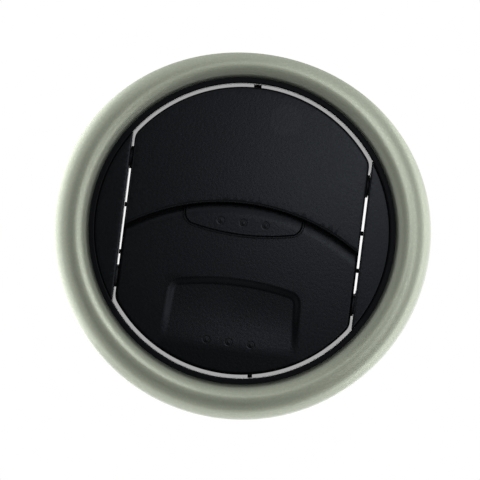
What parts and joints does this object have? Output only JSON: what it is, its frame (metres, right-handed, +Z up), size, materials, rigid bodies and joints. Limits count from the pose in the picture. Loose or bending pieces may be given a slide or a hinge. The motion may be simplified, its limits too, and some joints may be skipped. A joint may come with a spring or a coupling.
{
  "type": "dashboard air vent",
  "caption": "Round dashboard air vent with a painted bezel, a core that turns in its barrel, and linked shut-off vanes that tilt open.",
  "frame": {"origin": "point where the vent's own axis meets the dash surface, at the middle of the panel cut-out", "axes": "+Y along the vent's axis from the cabin into the duct, +Z up, +X to the right as seen from the cabin"},
  "size_m": [0.1, 0.0426, 0.097],
  "materials": {
    "bezel_paint": "satin paint with a fine pearl fleck on moulded plastic",
    "black_gloss": "smooth moulded black",
    "black_housing": "plain moulded black",
    "black_satin": "satin black with a very fine moulded grain",
    "black_washer": "plain moulded black",
    "spring_steel": "tempered strip, lightly zinc plated",
    "pin_steel": "ground wire",
    "acetal": "natural acetal, slightly waxy",
    "silicone": "matt silicone",
    "felt": "needled felt",
    "foam": "open-cell foam"
  },
  "bodies": {
    "housing": {"bezel": "bezel_paint", "carrier": "black_housing", "retaining_ring": "black_gloss", "barrel": "black_housing", "duct_seal": "foam", "dash_clips": "spring_steel", "felt_pads": "felt"},
    "core": {"rotor": "black_housing", "friction_ring": "silicone", "left_cheek": "black_satin", "right_cheek": "black_satin", "pivot_bushes": "acetal"},
    "upper_vane_set": {"upper_vane": "black_satin", "upper_drive_pin": "pin_steel", "upper_idle_pin": "pin_steel", "upper_washers": "black_washer", "upper_crank": "acetal"},
    "lower_vane_set": {"lower_vane": "black_satin", "lower_drive_pin": "pin_steel", "lower_idle_pin": "pin_steel", "lower_washers": "black_washer", "lower_crank": "acetal"},
    "link": {"link_rod": "acetal"}
  },
  "joints": [
    {"name": "core_turn", "type": "hinge", "parent": "housing", "child": "core", "pos_m": [0, 0, 0], "axis": [0, 1, 0], "continuous": true},
    {"name": "lower_vane_tilt", "type": "hinge", "parent": "core", "child": "lower_vane_set", "pos_m": [0, 0.0009, -0.0158], "axis": [-1, 0, 0], "range_deg": [0, 80]},
    {"name": "upper_vane_tilt", "type": "hinge", "parent": "core", "child": "upper_vane_set", "pos_m": [0, 0.0009, 0.0158], "axis": [-1, 0, 0], "range_deg": [0, 80]},
    {"name": "link_swing", "type": "hinge", "parent": "lower_vane_set", "child": "link", "pos_m": [0, 0.0035, -0.01361], "axis": [-1, 0, 0], "range_deg": [-80, 0]}
  ],
  "couplings": [
    {"joint": "upper_vane_tilt", "follows": "lower_vane_tilt", "ratio": 1},
    {"joint": "link_swing", "follows": "lower_vane_tilt", "ratio": -1}
  ]
}
